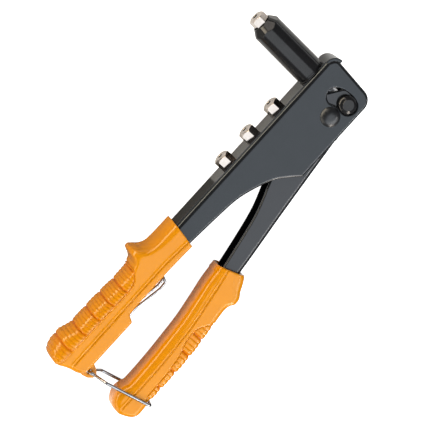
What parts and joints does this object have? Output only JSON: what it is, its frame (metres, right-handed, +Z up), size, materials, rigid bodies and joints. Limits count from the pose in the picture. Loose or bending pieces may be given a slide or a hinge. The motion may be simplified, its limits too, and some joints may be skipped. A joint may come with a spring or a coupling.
{
  "type": "hand riveter",
  "caption": "Two-handled lever riveter with a sheet-steel body, upright barrel, hex nosepieces, parked spares, moulded grips and a wire latch.",
  "frame": {"origin": "centre of the bounding box's underside, the tool lying on its side", "axes": "+X from the grips towards the head, +Y along the barrel towards the nosepiece, +Z up out of the side plate"},
  "size_m": [0.2608, 0.1266, 0.0278],
  "materials": {
    "black_paint": "satin dark grey-black paint",
    "black_gloss": "gloss black paint",
    "orange_plastic": "glossy moulded orange",
    "nickel": "bright nickel plate",
    "plain_steel": "machined steel",
    "spring_steel": "bright drawn wire"
  },
  "bodies": {
    "body": {"body_channel": "black_paint", "pivot_rivet": "black_paint", "pivot_sleeve": "plain_steel", "storage_bushes": "plain_steel", "upper_grip": "orange_plastic", "handle_spring": "spring_steel", "return_spring": "spring_steel", "barrel": "black_gloss", "barrel_collar": "nickel", "barrel_nut": "plain_steel"},
    "lever": {"lever_channel": "black_paint", "lower_grip": "orange_plastic", "drive_pin": "black_paint", "pin_rollers": "plain_steel"},
    "draw": {"draw_slide": "plain_steel", "jaw_case": "plain_steel", "jaw_spring": "spring_steel"},
    "pusher": {"jaw_pusher": "plain_steel"},
    "jaw_a": {"jaw_1": "plain_steel"},
    "jaw_b": {"jaw_2": "plain_steel"},
    "jaw_c": {"jaw_3": "plain_steel"},
    "latch": {"latch_bail": "spring_steel"},
    "clip": {"grip_clip": "spring_steel"},
    "nosepiece": {"fitted_nosepiece": "nickel"},
    "spare_a": {"spare_nosepiece_1": "nickel"},
    "spare_b": {"spare_nosepiece_2": "nickel"},
    "spare_c": {"spare_nosepiece_3": "nickel"}
  },
  "joints": [
    {"name": "lever_pivot", "type": "hinge", "parent": "body", "child": "lever", "pos_m": [0.10008, -0.01446, 0.0139], "axis": [0, 0, 1], "range_deg": [-4, 40], "deforming": ["handle_spring"]},
    {"name": "draw", "type": "slide", "parent": "body", "child": "draw", "axis": [0, 1, 0], "range_m": [-0.001, 0.009], "deforming": ["return_spring"]},
    {"name": "pusher_slide", "type": "slide", "parent": "draw", "child": "pusher", "axis": [0, -1, 0], "range_m": [-0.0002, 0.0016], "deforming": ["jaw_spring"]},
    {"name": "jaw_a_slide", "type": "slide", "parent": "draw", "child": "jaw_a", "axis": [0.1564, -0.9877, 0], "range_m": [-0.0002, 0.0016]},
    {"name": "jaw_b_slide", "type": "slide", "parent": "draw", "child": "jaw_b", "axis": [-0.0782, -0.9877, -0.1355], "range_m": [-0.0002, 0.0016]},
    {"name": "jaw_c_slide", "type": "slide", "parent": "draw", "child": "jaw_c", "axis": [-0.0782, -0.9877, 0.1355], "range_m": [-0.0002, 0.0016]},
    {"name": "latch_swing", "type": "hinge", "parent": "body", "child": "latch", "pos_m": [-0.12034, -0.02046, 0.0139], "axis": [0, 0, 1], "range_deg": [-100, 0]},
    {"name": "clip_flex", "type": "hinge", "parent": "body", "child": "clip", "pos_m": [-0.07877, -0.0131, 0.0139], "axis": [0, 0, 1], "range_deg": [-4, 1], "stiffness_Nm_per_rad": 0.05},
    {"name": "nosepiece_out", "type": "slide", "parent": "body", "child": "nosepiece", "axis": [0, 1, 0], "range_m": [0, 0.012]},
    {"name": "spare_a_out", "type": "slide", "parent": "body", "child": "spare_a", "axis": [-0.0349, 0.9994, 0], "range_m": [0, 0.012]},
    {"name": "spare_b_out", "type": "slide", "parent": "body", "child": "spare_b", "axis": [-0.0349, 0.9994, 0], "range_m": [0, 0.012]},
    {"name": "spare_c_out", "type": "slide", "parent": "body", "child": "spare_c", "axis": [-0.0349, 0.9994, 0], "range_m": [0, 0.012]}
  ],
  "couplings": [
    {"joint": "draw", "follows": "lever_pivot", "m_per_rad": 0.01282},
    {"joint": "pusher_slide", "follows": "lever_pivot", "m_per_rad": 0.002149},
    {"joint": "jaw_a_slide", "follows": "lever_pivot", "m_per_rad": 0.002176},
    {"joint": "jaw_b_slide", "follows": "lever_pivot", "m_per_rad": 0.002176},
    {"joint": "jaw_c_slide", "follows": "lever_pivot", "m_per_rad": 0.002176}
  ]
}
